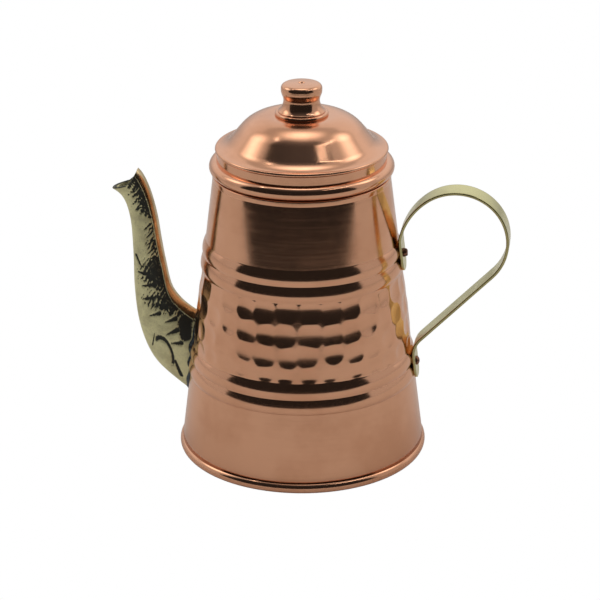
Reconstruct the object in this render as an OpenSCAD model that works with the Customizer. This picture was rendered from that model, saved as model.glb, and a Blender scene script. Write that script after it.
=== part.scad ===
// Conical hammered copper coffee pot with a cast spout, a strap handle and a lift-off lid.
// Millimetres, +Z up. The origin is on the pot's axis at the plane it stands on.
// The handle points along +X and the spout along -X.

/* [Wall] */
// Outside radius of the conical wall, carried down to the standing plane
base_r = 64.25; // [62:0.25:66]
// How far the wall leans in for each millimetre of height
taper = 0.1264; // [0.11:0.001:0.14]
// Height of the pot's mouth
mouth_z = 151; // [149:0.5:154]
// Thickness of the sheet copper
sheet = 1; // [0.8:0.05:1.2]
// Height of the hem folded over at the mouth
hem_h = 2.8; // [2:0.1:4]
// How far the mouth's hem stands out from the wall
hem_out = 0.25; // [0.1:0.05:0.4]

/* [Double beads] */
// Height of the crease in the middle of the lower pair
lower_crease_z = 49.6; // [48:0.1:51]
// Height of each bead in the lower pair
lower_bead_h = 8; // [7:0.05:9]
// Height of the crease in the middle of the upper pair
upper_crease_z = 108; // [107:0.1:110]
// Height of each bead in the upper pair
upper_bead_h = 8.2; // [7:0.05:9]
// How far a bead stands out from the wall
bead_out = 1.2; // [1:0.05:1.5]
// How far the crease between two beads stands out
crease_out = 0.3; // [0.2:0.05:0.6]
// Height of a bead's crest as a share of the bead's height
bead_crest = 0.43; // [0.4:0.01:0.5]

/* [Foot] */
// Outside radius of the foot bead's section
foot_bead_r = 2.8; // [2.6:0.05:3]
// Outside radius of the foot
foot_r = 65; // [63.5:0.25:65.5]
// Radius of the wire inside the foot bead
foot_wire_r = 1.8; // [1.4:0.05:1.9]
// Width of the flat worn on the underside of the foot bead
foot_flat_w = 1.8; // [1:0.1:2]
// Rise of the bottom's middle above its edge
bottom_rise = 1.5; // [0.5:0.1:3]

/* [Spout] */
// Half width of the spout at its root
spout_root_w = 9.5; // [8:0.25:11]
// Half width of the spout at half height
spout_neck_w = 7; // [6:0.25:8]
// Half width of the spout at its mouth
spout_mouth_w = 5.6; // [5:0.1:6.5]
// Wall thickness of the casting
spout_t = 1.8; // [1.5:0.1:2.2]
// Radius of the hole through the pot's wall behind the spout
spout_hole_r = 7.5; // [6:0.25:8]
// Height of that hole's centre
spout_hole_z = 49.6; // [47:0.2:54]
// Width of the solder seam round the spout's root
seam_w = 1.2; // [0.8:0.1:1.6]
// Height of the solder seam
seam_h = 0.9; // [0.6:0.1:1.2]

/* [Handle] */
// Width of the handle strap
strap_w = 13.4; // [12:0.2:15]
// Thickness of the handle strap
strap_t = 1.5; // [1.2:0.1:1.8]
// Height of the upper tab's lower end
upper_tab_z = 101; // [99:0.5:103]
// Height of the lower tab's lower end
lower_tab_z = 41.5; // [38:0.5:44]
// Radius of the rivet shanks
rivet_r = 2; // [1.5:0.1:2.2]
// Height of the upper rivet
upper_rivet_z = 109.6; // [108:0.2:112]
// Height of the lower rivet
lower_rivet_z = 49.6; // [48:0.2:51]
// Radius of the rivet heads
rivet_head_r = 2.6; // [2.3:0.1:3]
// Radius of the washers inside the pot
rove_r = 4.2; // [3.5:0.1:5]

/* [Lid] */
// Gap between the seated lid's bead and the mouth
lid_gap = 0.35; // [0.3:0.05:0.6]
// Radius of the lid bead's section
lid_bead_r = 3.5; // [3:0.1:3.8]
// Outside radius of the lid bead
lid_r = 47.2; // [46.5:0.1:47.5]
// Thickness of the lid's sheet copper
lid_sheet = 0.9; // [0.7:0.05:1]
// Outside radius of the lid's neck
neck_r = 43.3; // [42.8:0.1:43.6]
// Depth of the locating collar below the mouth
collar_depth = 8; // [6:0.5:10]
// Side clearance of the locating collar in the mouth
collar_gap = 0.6; // [0.5:0.05:0.8]
// Outside radius of the brim
brim_r = 44.05; // [43.5:0.05:44.5]
// Height of the brim above the lid bead's centre
brim_rise = 10.2; // [9:0.1:11]
// How steeply the brim falls towards its edge, in degrees
brim_fall = 6; // [3:1:9]
// Radius of the hollow sweep from the brim up to the dome's flank
cove_r = 10.1; // [9:0.1:11]
// Slope of the dome's straight flank, in degrees
flank_slope = 50; // [48:0.5:52]
// Length of the straight flank
flank_l = 8.15; // [7:0.05:9]
// Radius of the dome's shoulder
shoulder_r = 19.5; // [18.5:0.1:20.5]
// Radius of the nearly flat crown
crown_r = 1200; // [600:50:1500]

/* [Knob] */
// Overall height of the closed pot
total_h = 198.3; // [197:0.1:200]
// Radius of the knob's head
knob_head_r = 10.45; // [10:0.05:11]
// Height of the knob's head, down to where its side turns in
knob_head_h = 3.8; // [3:0.1:4.5]
// Radius of the knob's waist
knob_waist_r = 9.2; // [8.5:0.05:9.5]
// Radius of the hollow flare from the waist to the foot
knob_flare_r = 7.1; // [6:0.1:8]
// Radius of the knob's foot
knob_foot_r = 12; // [11.5:0.1:12.2]
// Radius of the washer under the knob
knob_base_r = 13.6; // [13.4:0.1:14.2]
// Height of the washer's top above the dome's
knob_base_h = 1.65; // [1.5:0.05:2]
// Radius of the pin through the knob
pin_r = 1.2; // [1:0.05:1.4]
// Radius of the washer under the dome
washer_r = 5; // [4:0.5:8]

/* [Hidden] */
$fn = 96;
copper = "#c98b6b";
brass = "#b9ad76";
aged_copper = "#6e4631";
tin = "#b9bcbc";
solder = "#565b5e";
steel = "#8d9094";

// ---- shared geometry ----

// How far a cutting shape runs on past what it cuts
over = 1;

// Radius of the plain conical wall at a height
function wall_r(z) = base_r - taper * z;

// Heading of the wall's slope, in degrees from +X towards +Z
wall_heading = 90 + atan(taper);

// Sagitta of an arc of radius r at a distance x from its middle
function sag(r, x) = r - sqrt(r * r - x * x);

// Radius of an arc that rises by s over a half chord x
function arc_r(s, x) = (x * x + s * s) / (2 * s);

// How far a bead stands out at x above its crest, if it falls to edge at a distance reach
function bead_side(x, edge, reach) = bead_out - sag(arc_r(bead_out - edge, reach), x);

// How far a double bead stands out at a distance s above its crease, for beads h high
function bead_off(s, h) = let(up = bead_crest * h, x = (s < 0 ? s + h : s) - up)
    x < 0 ? bead_side(x, s < 0 ? 0 : crease_out, up)
          : bead_side(x, s < 0 ? crease_out : 0, h - up);

// Points of the wall's outer line over one double bead, from the bottom up
bead_steps = 10;
function bead_points(z, h, shift) = [for (i = [-bead_steps:bead_steps])
    let(s = h * i / bead_steps) [wall_r(z + s) + bead_off(s, h) - shift, z + s]];

// Points of an arc about c, from angle a0 to angle a1, in n steps
function arc(c, r, a0, a1, n) = [for (i = [0:n])
    let(a = a0 + (a1 - a0) * i / n) c + r * [cos(a), sin(a)]];

// Reversed list
function flip(v) = [for (i = [len(v) - 1:-1:0]) v[i]];

// Point on a smooth curve through the points p, at t from 0 at the first to 1 at the last
function blend4(a, b, c, d, u) = 0.5 * (2 * b + (c - a) * u
    + (2 * a - 5 * b + 4 * c - d) * u * u + (3 * b - a - 3 * c + d) * u * u * u);
function curve(p, t) = let(n = len(p) - 1, i = min(floor(t * n), n - 1), u = t * n - i)
    blend4(p[max(i - 1, 0)], p[i], p[i + 1], p[min(i + 2, n)], u);

foot_ring_r = foot_r - foot_bead_r;
foot_c_z = sqrt(pow(foot_bead_r, 2) - pow(foot_flat_w / 2, 2));
wall_bottom_z = foot_c_z;

// The wall's section line, moved in by shift
function wall_line(shift) = concat(
    [[wall_r(wall_bottom_z) - shift, wall_bottom_z]],
    bead_points(lower_crease_z, lower_bead_h, shift),
    bead_points(upper_crease_z, upper_bead_h, shift),
    [[wall_r(mouth_z - hem_h) - shift, mouth_z - hem_h]]);

// Solid that fills the pot's outer shape, grown by a distance, for cutting what is seated on
// the wall
module wall_envelope(grow) {
    line = wall_line(-grow);
    rotate_extrude() polygon(concat([[0, wall_bottom_z]], line, [[0, mouth_z - hem_h]]));
}

module ring(ring_r, r, z) {
    translate([0, 0, z]) rotate_extrude() translate([ring_r, 0]) circle(r, $fn = 48);
}

// Upright tube by its outside radius, wall and height
module tube(r, wall, h) difference() {
    cylinder(h = h, r = r);
    translate([0, 0, -over]) cylinder(h = h + 2 * over, r = r - wall);
}

// ---- pot ----

hem_r = wall_r(mouth_z - hem_h / 2) + hem_out;
mouth_bore_r = wall_r(mouth_z) - sheet - hem_out;

// Places its children on the wall at a height on the handle's side, with +Z along the
// wall's outward normal and the wall's plain surface at z = 0
module on_wall(z) translate([wall_r(z), 0, z]) rotate([0, 90 - atan(taper), 0]) children();

bore_l = 16;
module rivet_bore(z) on_wall(z) cylinder(h = bore_l, r = rivet_r, center = true);

module body_shell() color(copper) difference() {
    rotate_extrude() polygon(concat(
        wall_line(0),
        [[hem_r, mouth_z - hem_h], [hem_r, mouth_z - hem_out], [hem_r - hem_out, mouth_z],
         [mouth_bore_r + hem_out, mouth_z], [mouth_bore_r, mouth_z - hem_out],
         [mouth_bore_r, mouth_z - hem_h]],
        flip(wall_line(sheet))));
    ring(foot_ring_r, foot_bead_r, foot_c_z);
    translate([0, 0, spout_hole_z]) rotate([0, -90, 0]) cylinder(h = base_r, r = spout_hole_r);
    rivet_bore(upper_rivet_z);
    rivet_bore(lower_rivet_z);
}

// Height of the bottom sheet's underside at a radius, out to where it runs into its bead
bottom_bite = 0.6;
bottom_z = foot_c_z - sheet / 2;
bottom_r = foot_ring_r - foot_bead_r + bottom_bite;
bottom_arc_r = arc_r(bottom_rise, bottom_r);
function bottom_under(r) = bottom_z + bottom_rise - sag(bottom_arc_r, r);
bottom_steps = 8;
function bottom_points(lift) = [for (i = [0:bottom_steps])
    let(r = bottom_r * i / bottom_steps) [r, bottom_under(r) + lift]];

module base_plate() color(copper) difference() {
    union() {
        ring(foot_ring_r, foot_bead_r, foot_c_z);
        rotate_extrude() polygon(concat(bottom_points(0), flip(bottom_points(sheet))));
    }
    ring(foot_ring_r, foot_wire_r, foot_c_z);
    translate([0, 0, -foot_bead_r]) cylinder(h = foot_bead_r, r = foot_r + over);
}

module foot_wire() color(steel) ring(foot_ring_r, foot_wire_r, foot_c_z);

// Fillet in the inside corner between the bottom's bead and the wall
solder_h = 5;
solder_in_r = foot_ring_r - foot_bead_r;
solder_foot_z = foot_c_z + sheet / 2;
function wall_in(z) = [wall_r(z) - sheet, z];
module base_solder() color(tin) difference() {
    rotate_extrude() polygon([[solder_in_r, solder_foot_z], wall_in(solder_foot_z),
        wall_in(foot_c_z + solder_h), [solder_in_r, foot_c_z + sheet]]);
    ring(foot_ring_r, foot_bead_r, foot_c_z);
}

// ---- spout ----

// Back line (towards the pot) and front line, as [distance from the axis, height]
spout_back = [[50, 69], [57.5, 72.3], [64.4, 77.6], [69.3, 85], [71.9, 97.5], [74, 110],
    [75.9, 123.5], [79, 136.5], [83.2, 146], [88.5, 151.5]];
spout_front = [[55, 22], [66.5, 30.8], [77.2, 41], [83.2, 51.8], [87.2, 66], [88.8, 84],
    [88.9, 103], [90, 122], [94.2, 134], [104, 140.5]];
spout_steps = 27;
spout_sides = 28;

// Half width along the spout, from the root at t = 0 to the mouth at t = 1
spout_widths = [[spout_root_w], [spout_root_w], [spout_neck_w], [spout_neck_w],
    [spout_mouth_w], [spout_mouth_w]];
function spout_half(t) = curve(spout_widths, t)[0];

// One section, moved in by inset: an oval between the back and the front line. A power
// over 1 draws the oval out to a leaf, as at the root, and a power under 1 squares it up.
root_power = 1.15;
neck_power = 0.8;
root_end = 0.35;
function spout_power(t) = neck_power + (root_power - neck_power) * max(0, 1 - t / root_end);
function bulge(v, power) = sign(v) * pow(abs(v), power);
function spout_section(t, inset) = let(
    b = curve(spout_back, t),
    f = curve(spout_front, t),
    dir = (f - b) / norm(f - b),
    half_l = norm(f - b) / 2 - inset,
    half_w = spout_half(t) - inset,
    power = spout_power(t))
    [for (k = [0:spout_sides - 1])
        let(a = 360 * k / spout_sides, p = (b + f) / 2 - dir * half_l * bulge(cos(a), power))
        [-p[0], half_w * bulge(sin(a), power), p[1]]];

// Closed skin through the sections
module spout_skin(inset) {
    n = spout_sides;
    rows = [for (i = [0:spout_steps]) spout_section(i / spout_steps, inset)];
    sides = [for (i = [0:spout_steps - 1], k = [0:n - 1])
        [i * n + k, (i + 1) * n + k, (i + 1) * n + (k + 1) % n, i * n + (k + 1) % n]];
    ends = [[for (k = [0:n - 1]) k], [for (k = [n - 1:-1:0]) spout_steps * n + k]];
    polyhedron([for (row = rows) each row], concat(sides, ends));
}

// Everything above the open beak: steep at the back tip, then level out to the lip
beak_cut = [[84, 160], [85.6, 148], [88, 143.2], [91, 140.6], [99.4, 138], [112, 135],
    [112, 160]];
beak_cut_w = 40;
module above_beak() rotate([90, 0, 0]) linear_extrude(beak_cut_w, center = true)
    polygon([for (p = beak_cut) [-p[0], p[1]]]);

module spout() color(brass) difference() {
    spout_skin(0);
    spout_skin(spout_t);
    wall_envelope(0);
    above_beak();
}

// Seam round the spout's root: a band of the wall's surface that the root stands in
module spout_solder() color(solder) difference() {
    intersection() {
        spout_skin(-seam_w);
        wall_envelope(seam_h);
    }
    spout_skin(0);
    wall_envelope(0);
}

// ---- handle ----

// How deep the strap's tabs are dressed down over the crests of the beads
seat = 0.3;
tab_off = bead_out - seat;

// Point on the strap's middle line at a tab
function tab_point(z) = [wall_r(z) + tab_off + strap_t / 2, z];

// A bend or a straight from [x, z, heading]: a straight has no turn, and its size is its
// length; a bend's size is its radius, and a positive turn is to the left
arc_steps = 16;
function spin(v, a) = [v[0] * cos(a) - v[1] * sin(a), v[0] * sin(a) + v[1] * cos(a)];
function along(at, size, turn) = let(p = [at[0], at[1]], h = at[2])
    turn == 0 ? [[p[0] + size * cos(h), p[1] + size * sin(h), h]]
    : let(c = p + size * sign(turn) * [-sin(h), cos(h)])
      [for (i = [1:arc_steps])
          let(a = turn * i / arc_steps, q = c + spin(p - c, a)) [q[0], q[1], h + a]];
function walk(at, steps, i = 0) = i == len(steps) ? []
    : let(part = along(at, steps[i][0], steps[i][1]))
      concat(part, walk(part[len(part) - 1], steps, i + 1));

// Upper tab, bend away from the wall, flatter rise, and the round loop over to the slope
upper_tab = tab_point(upper_tab_z);
strap_start = [upper_tab[0], upper_tab[1], wall_heading];
strap_loop = concat([strap_start],
    walk(strap_start, [[15.4, 0], [11.5, -21], [34.5, -40.5], [26, -85], [26, -85]]));
loop_end = strap_loop[len(strap_loop) - 1];

// Straight slope down to the lower tab, and the bend that lays it on the wall
lower_bend_r = 12;
slope_dir = [cos(loop_end[2]), sin(loop_end[2])];
wall_down = -[cos(wall_heading), sin(wall_heading)];
lower_tab = tab_point(lower_tab_z);
to_tab = lower_tab - [loop_end[0], loop_end[1]];
slope_l = cross(to_tab, wall_down) / cross(slope_dir, wall_down);
lower_turn = wall_heading - 180 - loop_end[2];
slope_straight = slope_l - lower_bend_r * tan(lower_turn / 2);
slope_path = walk(loop_end, [[slope_straight, 0], [lower_bend_r, lower_turn]]);
strap_path = concat(strap_loop, slope_path, [[lower_tab[0], lower_tab[1], wall_heading - 180]]);

function strap_side(off) = [for (v = strap_path)
    [v[0] - off * sin(v[2]), v[1] + off * cos(v[2])]];

// What is left outside a rounded corner of a tab's end, on the side of the sign
tab_corner_r = 5;
module tab_corner(z, down, side) translate([wall_r(z), 0, z]) rotate([0, 90, 0])
    translate([-down * tab_corner_r, side * (strap_w / 2 - tab_corner_r), -bore_l / 2])
    difference() {
        translate([down > 0 ? 0 : -tab_corner_r - over, side > 0 ? 0 : -tab_corner_r - over, 0])
            cube([tab_corner_r + over, tab_corner_r + over, bore_l]);
        translate([0, 0, -over]) cylinder(h = bore_l + 2 * over, r = tab_corner_r);
    }

module handle_strap() color(brass) difference() {
    rotate([90, 0, 0]) linear_extrude(strap_w, center = true)
        polygon(concat(strap_side(strap_t / 2), flip(strap_side(-strap_t / 2))));
    wall_envelope(0);
    rivet_bore(upper_rivet_z);
    rivet_bore(lower_rivet_z);
    for (side = [-1, 1]) {
        tab_corner(upper_tab_z, 1, side);
        tab_corner(lower_tab_z, 1, side);
    }
}

// A rivet stands on the strap's outer face and is peened over its rove inside the pot
strap_face = tab_off + strap_t;
rove_t = 1;
rove_clear = 0.2;
rove_top = crease_out - sheet - rove_clear;
rove_bottom = rove_top - rove_t;
peen_h = 1.2;
peen_r = (rivet_r + rove_r) / 2;
function rivet_shank() = [[0, rove_bottom - peen_h], [rivet_r, rove_bottom - peen_h],
    [peen_r, rove_bottom - peen_h / 2], [peen_r, rove_bottom], [rivet_r, rove_bottom],
    [rivet_r, strap_face]];

flat_head_h = 1.9;
head_edge = 0.4;
module upper_rivet() color(aged_copper) on_wall(upper_rivet_z) rotate_extrude()
    polygon(concat(rivet_shank(), [[rivet_head_r, strap_face],
        [rivet_head_r, strap_face + flat_head_h - head_edge],
        [rivet_head_r - head_edge, strap_face + flat_head_h], [0, strap_face + flat_head_h]]));

dome_head_h = 1.5;
dome_head_arc_r = arc_r(dome_head_h, rivet_head_r);
dome_head_c = [0, strap_face + dome_head_h - dome_head_arc_r];
module lower_rivet() color(aged_copper) on_wall(lower_rivet_z) rotate_extrude()
    polygon(concat(rivet_shank(),
        arc(dome_head_c, dome_head_arc_r, 90 - asin(rivet_head_r / dome_head_arc_r), 90, 8)));

module rivet_roves() color(copper) for (z = [upper_rivet_z, lower_rivet_z])
    on_wall(z) translate([0, 0, rove_bottom]) tube(rove_r, rove_r - rivet_r, rove_t);

// ---- lid ----

lid_ring_r = lid_r - lid_bead_r;
lid_c_z = mouth_z + lid_gap + lid_bead_r;
brim_z = lid_c_z + brim_rise;
brim_hem_t = 2;
brim_hem_w = 2.8;

// Hollow rolled bead with the upright neck standing in its wall
neck_foot = 2.6;
module lid_band() color(copper) difference() {
    union() {
        ring(lid_ring_r, lid_bead_r, lid_c_z);
        translate([0, 0, lid_c_z + neck_foot])
            tube(neck_r, lid_sheet, brim_rise - brim_hem_t - neck_foot);
    }
    ring(lid_ring_r, lid_bead_r - lid_sheet, lid_c_z);
}

// Ring that drops into the mouth, fitted to the underside of the bead
module lid_collar() color(copper) difference() {
    translate([0, 0, mouth_z - collar_depth])
        tube(mouth_bore_r - collar_gap, lid_sheet, collar_depth + lid_bead_r);
    ring(lid_ring_r, lid_bead_r, lid_c_z);
}

// The dome's line from its brim in: a hollow sweep, the straight flank, the shoulder, and
// the crown tangent to the shoulder
brim_edge_r = brim_hem_t / 2;
brim_edge_c = [brim_r - brim_edge_r, brim_z - brim_edge_r];
hem_in_r = brim_edge_c[0] - brim_hem_w;
function dir(a) = [cos(a), sin(a)];
brim_up = 90 - brim_fall;
flank_up = 90 - flank_slope;
cove_c = brim_edge_c + (brim_edge_r + cove_r) * dir(brim_up);
shoulder_c = cove_c - (cove_r + shoulder_r) * dir(flank_up) + flank_l * dir(90 + flank_up);
crown_c = [0, shoulder_c[1] - sqrt(pow(crown_r - shoulder_r, 2) - pow(shoulder_c[0], 2))];
crown_edge = atan2(shoulder_c[1] - crown_c[1], shoulder_c[0]);
apex_z = crown_c[1] + crown_r;
function crown_z(r, drop) = crown_c[1] + sqrt(pow(crown_r - drop, 2) - r * r);
function crown_angle(r, drop) = acos(r / (crown_r - drop));
function dome_line(drop) = concat(
    arc(cove_c, cove_r + drop, 180 + brim_up, 180 + flank_up, 8),
    arc(shoulder_c, shoulder_r - drop, flank_up, crown_edge, 12),
    arc(crown_c, crown_r - drop, crown_edge, crown_angle(pin_r, drop), 4));

// The brim's hem is folded back under it, so the dome's underside ends where that begins
module lid_dome() color(copper) rotate_extrude() polygon(concat(
    [for (p = flip(dome_line(lid_sheet))) if (p[0] < hem_in_r) p],
    [[hem_in_r, brim_z - brim_hem_t]],
    arc(brim_edge_c, brim_edge_r, -90, brim_up, 8),
    dome_line(0)));

// ---- knob ----

// Washer under the knob: it bears on the dome with its rim, and is hollowed a hair clear of
// the crown inside that
base_clear = 0.02;
base_edge_r = 0.9;
base_foot_r = 0.3;
base_steps = 4;
base_top_z = apex_z + knob_base_h;
base_bear_r = knob_base_r - base_foot_r;
base_inner_r = knob_base_r - base_edge_r;
module knob_base() color(copper) rotate_extrude() polygon(concat(
    [for (i = [0:base_steps]) let(r = pin_r + (base_inner_r - pin_r) * i / base_steps)
        [r, crown_z(r, 0) + base_clear]],
    arc([base_bear_r, crown_z(base_bear_r, 0) + base_foot_r], base_foot_r, -90, 0, 4),
    arc([base_inner_r, base_top_z - base_edge_r], base_edge_r, 0, 90, 8),
    [[pin_r, base_top_z]]));

// The knob's line: foot, hollow flare up to the waist, round side, and a slightly domed head
foot_lip = 0.35;
head_edge_r = 2.3;
head_crown = 0.4;
knob_steps = 12;
dimple_r = 1.9;
dimple_d = 0.6;
flare_angle = acos((knob_waist_r + knob_flare_r - knob_foot_r) / knob_flare_r);
waist_z = base_top_z + foot_lip + knob_flare_r * sin(flare_angle);
head_z = total_h - knob_head_h;
head_top_r = knob_head_r - head_edge_r;
head_arc_r = arc_r(head_crown, head_top_r);
function ease(t) = t * t * (3 - 2 * t);
module knob() color(copper) rotate_extrude() polygon(concat(
    [[pin_r, base_top_z], [knob_foot_r, base_top_z]],
    arc([knob_waist_r + knob_flare_r, waist_z], knob_flare_r, 180 + flare_angle, 180, 8),
    [for (i = [1:knob_steps]) let(t = i / knob_steps)
        [knob_waist_r + (knob_head_r - knob_waist_r) * ease(t), waist_z + (head_z - waist_z) * t]],
    arc([head_top_r, total_h - head_crown - head_edge_r], head_edge_r, 0, 90, 8),
    [for (i = [3:-1:0]) let(r = dimple_r + (head_top_r - dimple_r) * i / 4)
        [r, total_h - sag(head_arc_r, r)]],
    [[pin_r, total_h - dimple_d]]));

washer_t = 1;
washer_top = crown_z(washer_r, lid_sheet);
module knob_washer() color(copper) translate([0, 0, washer_top - washer_t])
    tube(washer_r, washer_r - pin_r, washer_t);

// Pin: a head under the washer, and a pip that shows in the knob's dimple
pin_end_r = 0.8;
pin_end_h = 0.3;
pin_head_r = 2.4;
pin_head_h = 1;
pin_head_side = 0.6;
pin_head_z = washer_top - washer_t;
module knob_pin() color(copper) rotate_extrude() polygon([
    [0, pin_head_z - pin_head_h], [pin_head_r / 2, pin_head_z - pin_head_h],
    [pin_head_r, pin_head_z - pin_head_side], [pin_head_r, pin_head_z],
    [pin_r, pin_head_z], [pin_r, total_h - dimple_d], [pin_end_r, total_h - dimple_d],
    [pin_end_r, total_h - pin_end_h], [pin_end_r / 2, total_h], [0, total_h]]);

body_shell();
base_plate();
foot_wire();
base_solder();
spout();
spout_solder();
handle_strap();
upper_rivet();
lower_rivet();
rivet_roves();
lid_dome();
lid_band();
lid_collar();
knob_base();
knob();
knob_pin();
knob_washer();
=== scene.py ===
import math

import bmesh
import bpy
import numpy as np
from mathutils import Matrix, Vector


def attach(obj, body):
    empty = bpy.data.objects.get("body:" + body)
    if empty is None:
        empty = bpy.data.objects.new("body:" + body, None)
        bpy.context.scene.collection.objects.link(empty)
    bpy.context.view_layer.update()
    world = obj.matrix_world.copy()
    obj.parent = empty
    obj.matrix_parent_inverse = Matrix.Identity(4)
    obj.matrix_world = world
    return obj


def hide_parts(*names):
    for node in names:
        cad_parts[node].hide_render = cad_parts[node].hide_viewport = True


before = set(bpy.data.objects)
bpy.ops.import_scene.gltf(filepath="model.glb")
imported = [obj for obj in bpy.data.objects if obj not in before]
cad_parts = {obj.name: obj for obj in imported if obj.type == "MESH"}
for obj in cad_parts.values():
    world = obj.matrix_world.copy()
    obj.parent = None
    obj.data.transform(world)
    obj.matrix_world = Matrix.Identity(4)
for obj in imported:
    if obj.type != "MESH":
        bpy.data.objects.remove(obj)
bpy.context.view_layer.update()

rng = np.random.default_rng(7)

MM = 0.001

# ---- main dimensions, in millimetres, as in the CAD model ----
BASE_R, TAPER, MOUTH_Z, SHEET = 64.25, 0.1264, 151.0, 1.0
HEM_H, HEM_OUT = 2.8, 0.25
BEAD_PAIRS = ((49.6, 8.0), (108.0, 8.2))         # crease height, height of each bead
BEAD_OUT, CREASE_OUT, BEAD_CREST = 1.2, 0.3, 0.43
FOOT_R, FOOT_BEAD_R, FOOT_WIRE_R, FOOT_Z = 65.0, 2.8, 1.8, 2.651
FOOT_RING_R = FOOT_R - FOOT_BEAD_R
LEAN = math.atan(TAPER)

WALL_SEGMENTS, FOOT_SEGMENTS, LID_SEGMENTS, KNOB_SEGMENTS, PIN_SEGMENTS = 420, 320, 240, 192, 64


def wall_r(z):
    """Radius of the plain wall's outer face at a height."""
    return BASE_R - TAPER * z


BORE_R = wall_r(MOUTH_Z) - SHEET - HEM_OUT  # inside the hemmed mouth


# ---- curves ----

def step_up(v):
    """A smooth rise from 0 at 0 to 1 at 1."""
    v = np.clip(v, 0, 1)
    return v * v * (3 - 2 * v)


def unit(vectors):
    return vectors / np.linalg.norm(vectors, axis=-1, keepdims=True)


def arc_r(rise, half):
    """Radius of an arc that rises by rise over half a chord."""
    return (rise * rise + half * half) / (2 * rise)


def arc(centre, r, a0, a1, n):
    """Points of an arc about centre from angle a0 to a1, in degrees."""
    turns = [math.radians(a0 + (a1 - a0) * i / n) for i in range(n + 1)]
    return [(centre[0] + r * math.cos(a), centre[1] + r * math.sin(a)) for a in turns]


def soften(points, step=2.5, guard=0.18):
    """A closed outline with its long straight stretches cut up, and short guard pieces at
    their ends, so that smooth shading stays true beside a bend."""
    out = []
    for p, q in zip(points, points[1:] + points[:1]):
        p, q = np.array(p, float), np.array(q, float)
        length = np.linalg.norm(q - p)
        out.append(p)
        if length > 4 * guard:
            n = max(1, round(length / step))
            marks = [guard / length, *(i / n for i in range(1, n)), 1 - guard / length]
            out += [p + (q - p) * m for m in marks]
    return out


def rounded(corners, n):
    """An outline through corners (x, z, radius), each turned with an arc of n pieces."""
    out = []
    count = len(corners)
    for i in range(count):
        p = np.array(corners[i][:2], float)
        r = corners[i][2]
        if r == 0:
            out.append(tuple(p))
            continue
        a = np.array(corners[i - 1][:2], float) - p
        b = np.array(corners[(i + 1) % count][:2], float) - p
        a /= np.linalg.norm(a)
        b /= np.linalg.norm(b)
        half = math.acos(np.clip(a @ b, -1, 1)) / 2
        centre = p + (a + b) / np.linalg.norm(a + b) * r / math.sin(half)
        start, end = p + a * r / math.tan(half), p + b * r / math.tan(half)
        a0 = math.atan2(*(start - centre)[::-1])
        turn = (math.atan2(*(end - centre)[::-1]) - a0 + math.pi) % (2 * math.pi) - math.pi
        out += arc(centre, r, math.degrees(a0), math.degrees(a0 + turn), n)
    return out


# ---- mesh helpers ----

def add_object(name, data):
    made = bpy.data.objects.new(name, data)
    bpy.context.scene.collection.objects.link(made)
    return made


def set_attribute(piece, name, values):
    """Gives each point of a piece a number for its material."""
    layer = piece.data.attributes.new(name, "FLOAT", "POINT")
    layer.data.foreach_set("value", values)


def new_piece(name, verts, faces, body, materials, replaces):
    """A mesh piece from points in millimetres, which rides on a body in place of CAD nodes."""
    mesh = bpy.data.meshes.new(name)
    mesh.from_pydata([tuple(v) for v in np.asarray(verts) * MM], [], faces)
    mesh.validate()
    piece = add_object(name, mesh)
    for material in materials:
        mesh.materials.append(material)
    mesh.polygons.foreach_set("use_smooth", [True] * len(mesh.polygons))
    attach(piece, body)
    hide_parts(*replaces)
    return piece


def lathe(loops, segments, shift=None):
    """Points and faces of closed outlines (r, z) turned about Z. shift(angles, r, z) may
    move each point outwards. A point on the axis becomes one vertex."""
    angles = np.arange(segments) * 2 * math.pi / segments
    verts, faces = [], []
    for loop in loops:
        rings = []
        for r, z in loop:
            start = len(verts)
            if r < 1e-6:
                verts.append((0, 0, z))
                rings.append([start] * segments)
                continue
            radius = r + (shift(angles, r, z) if shift else 0)
            verts += list(zip(radius * np.cos(angles), radius * np.sin(angles),
                              np.full(segments, z)))
            rings.append(range(start, start + segments))
        for a, b in zip(rings, rings[1:] + rings[:1]):
            if a[0] == a[1] and b[0] == b[1]:
                continue
            for i in range(segments):
                j = (i + 1) % segments
                faces.append(tuple(dict.fromkeys((a[i], a[j], b[j], b[i]))))
    return verts, faces


def face_out(piece):
    """Turns every face of a closed piece outwards."""
    mesh = bmesh.new()
    mesh.from_mesh(piece.data)
    bmesh.ops.recalc_face_normals(mesh, faces=mesh.faces)
    mesh.to_mesh(piece.data)
    mesh.free()


def turned(name, loops, segments, body, materials, replaces, shift=None):
    """A copper piece with outlines turned about Z."""
    verts, faces = lathe(loops, segments, shift)
    piece = new_piece(name, verts, faces, body, materials, replaces)
    face_out(piece)
    return piece


def paint(piece, index, test):
    """Gives a material index to each face whose centre and normal, in mm, pass the test."""
    for face in piece.data.polygons:
        if test(face.center / MM, face.normal):
            face.material_index = index


# ---- materials ----

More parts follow.
